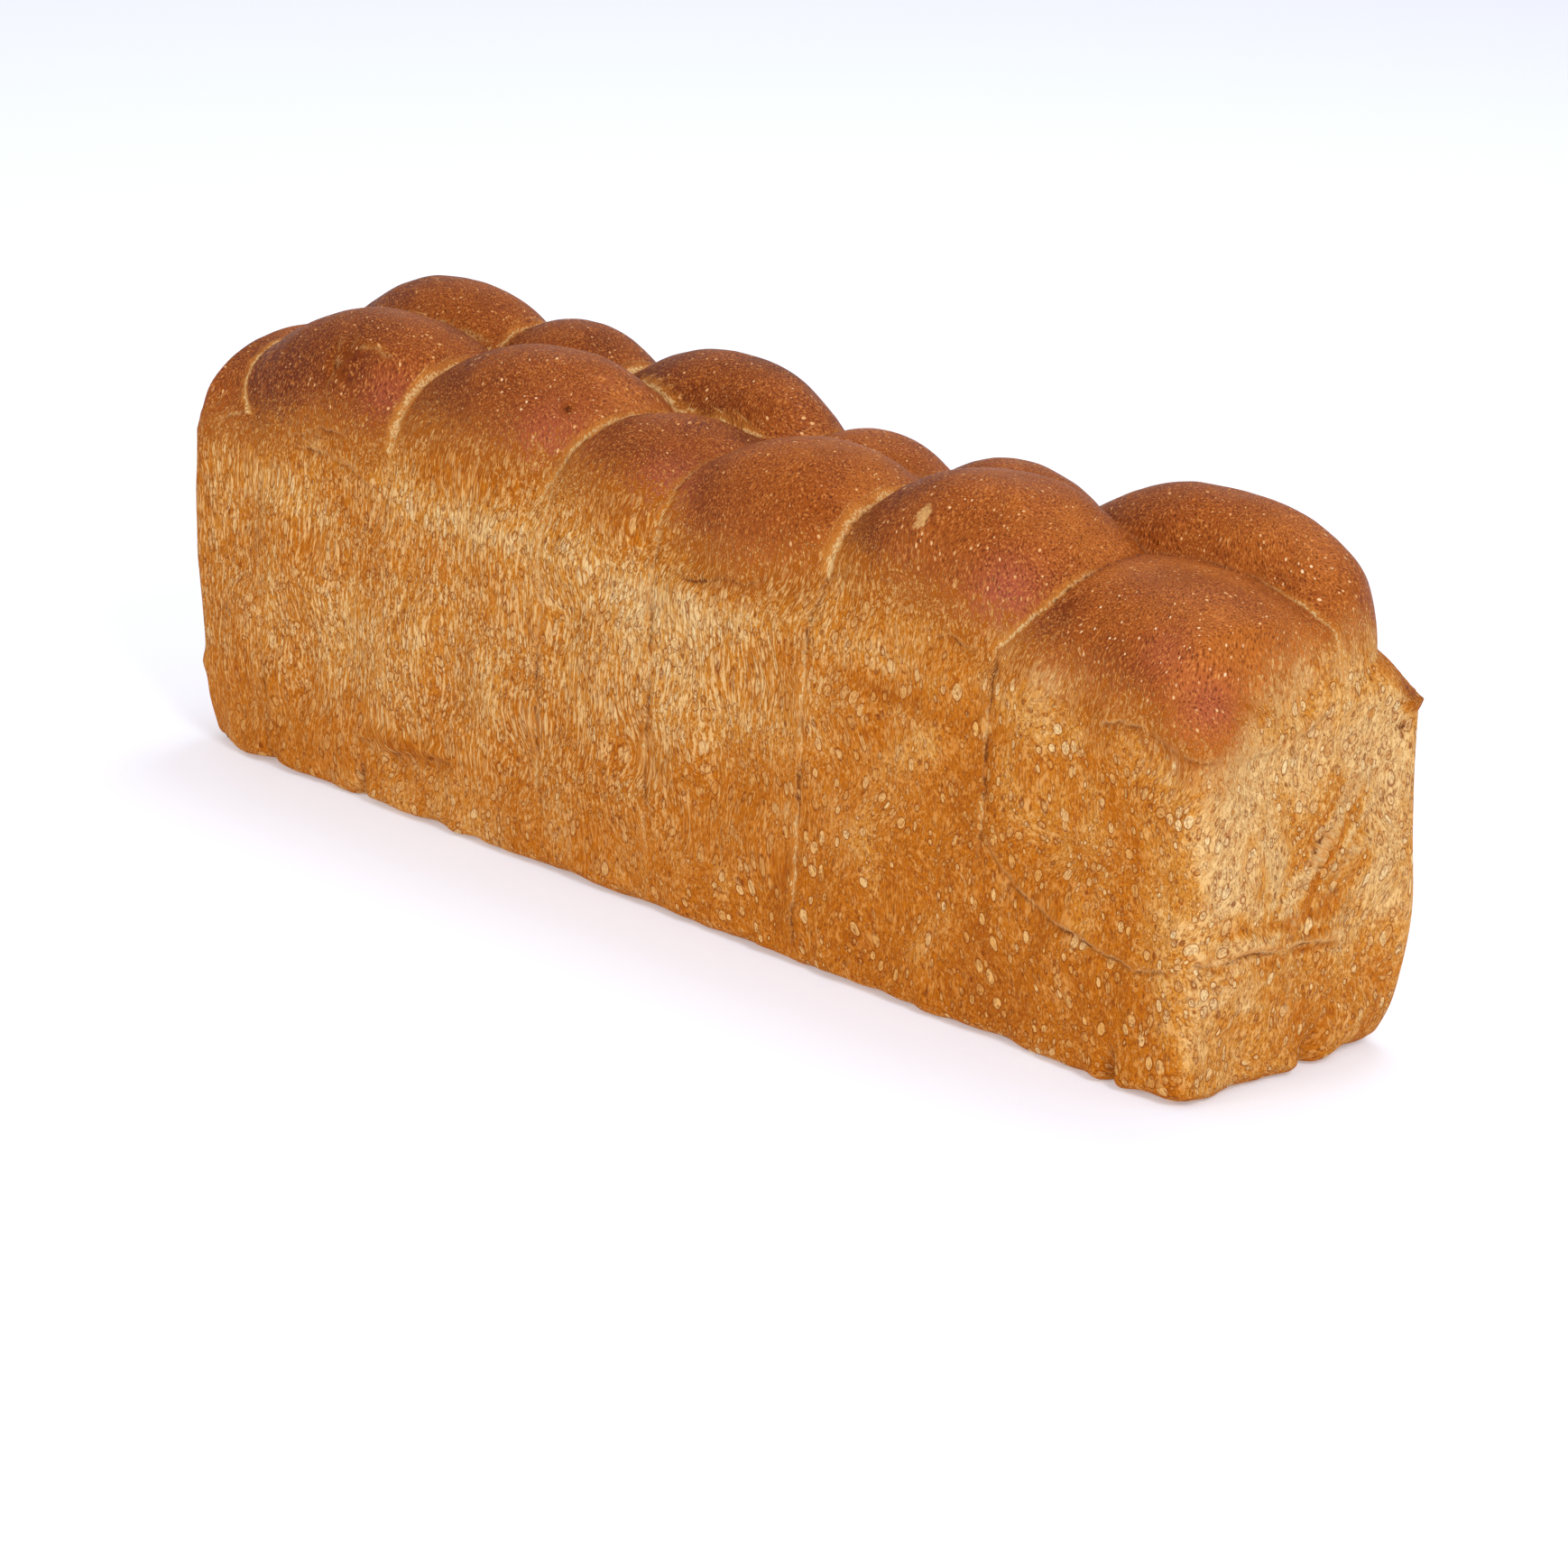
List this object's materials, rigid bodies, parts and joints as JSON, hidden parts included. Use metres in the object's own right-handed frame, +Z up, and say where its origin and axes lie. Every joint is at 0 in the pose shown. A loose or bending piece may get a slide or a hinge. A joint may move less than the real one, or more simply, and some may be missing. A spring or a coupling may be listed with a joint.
{
  "type": "tin loaf",
  "caption": "Long uncut bread loaf baked in an open straight-sided tin, with a crown of rounded dough pieces in two rows; a free-standing prop.",
  "frame": {"origin": "under the middle of the loaf, on the surface that it rests on", "axes": "+X along the loaf towards the near end, -Y out of the long wall that faces the viewer, +Z up"},
  "size_m": [0.5165, 0.1133, 0.1825],
  "materials": {
    "crust": "baked bread crust: satin red-brown on the crown, pale cream creases, golden-orange porous sides"
  },
  "bodies": {
    "root": {"loaf": "crust"}
  },
  "joints": []
}
